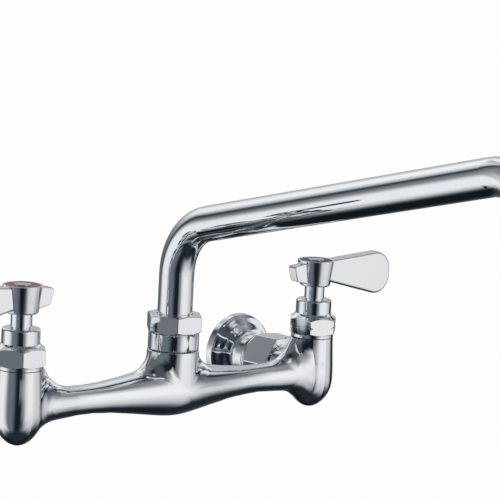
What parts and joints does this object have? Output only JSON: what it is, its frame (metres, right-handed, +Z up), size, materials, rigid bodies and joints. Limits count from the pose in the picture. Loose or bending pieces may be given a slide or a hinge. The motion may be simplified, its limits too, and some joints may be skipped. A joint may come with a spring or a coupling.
{
  "type": "wall faucet",
  "caption": "Wall-mounted commercial kitchen faucet with a cast mixing body, quarter-turn lever valves on both sides and a rising swing tube spout.",
  "frame": {"origin": "midway between the two supply inlets, on the wall's face", "axes": "+X from the hot inlet to the cold one, +Y into the wall, so the faucet stands on the -Y side, +Z up"},
  "size_m": [0.3132, 0.3386, 0.1779],
  "materials": {
    "chrome": "mirror chrome plate on brass",
    "brass": "turned, unplated",
    "rubber": "moulded",
    "ceramic": null,
    "white_plastic": "moulded",
    "steel": "plain stainless",
    "red_index": "moulded ring, gloss",
    "blue_index": "moulded ring, gloss"
  },
  "bodies": {
    "base": {"faucet_body": "chrome", "spout_gasket": "rubber", "spout_collar": "chrome", "spout_nut": "chrome", "spout_thrust_washer": "white_plastic", "hot_wall_flange": "chrome", "hot_coupling_nut": "chrome", "hot_coupling_washer": "rubber", "hot_snap_ring": "steel", "hot_bonnet_gasket": "rubber", "hot_bonnet": "chrome", "hot_seat_seal": "rubber", "hot_fixed_disc": "ceramic", "hot_thrust_washer": "white_plastic", "cold_wall_flange": "chrome", "cold_coupling_nut": "chrome", "cold_coupling_washer": "rubber", "cold_snap_ring": "steel", "cold_bonnet_gasket": "rubber", "cold_bonnet": "chrome", "cold_seat_seal": "rubber", "cold_fixed_disc": "ceramic", "cold_thrust_washer": "white_plastic"},
    "spout": {"spout_tube": "chrome", "spout_ferrule": "brass", "spout_orings": "rubber", "outlet_bushing": "chrome", "aerator_housing": "chrome", "aerator_washer": "rubber", "aerator_insert": "white_plastic"},
    "hot_handle": {"hot_lever": "chrome", "hot_spindle": "chrome", "hot_spindle_orings": "rubber", "hot_moving_disc": "ceramic", "hot_handle_screw": "steel", "hot_index_ring": "red_index", "hot_index_button": "chrome"},
    "cold_handle": {"cold_lever": "chrome", "cold_spindle": "chrome", "cold_spindle_orings": "rubber", "cold_moving_disc": "ceramic", "cold_handle_screw": "steel", "cold_index_ring": "blue_index", "cold_index_button": "chrome"}
  },
  "joints": [
    {"name": "spout_swing", "type": "hinge", "parent": "base", "child": "spout", "pos_m": [0, -0.0665, 0.032], "axis": [0, 0, 1], "range_deg": [-100, 100]},
    {"name": "hot_lever_turn", "type": "hinge", "parent": "base", "child": "hot_handle", "pos_m": [-0.1016, -0.0665, 0.038], "axis": [0, 0, 1], "range_deg": [0, 90]},
    {"name": "cold_lever_turn", "type": "hinge", "parent": "base", "child": "cold_handle", "pos_m": [0.1016, -0.0665, 0.038], "axis": [0, 0, 1], "range_deg": [-90, 0]}
  ]
}
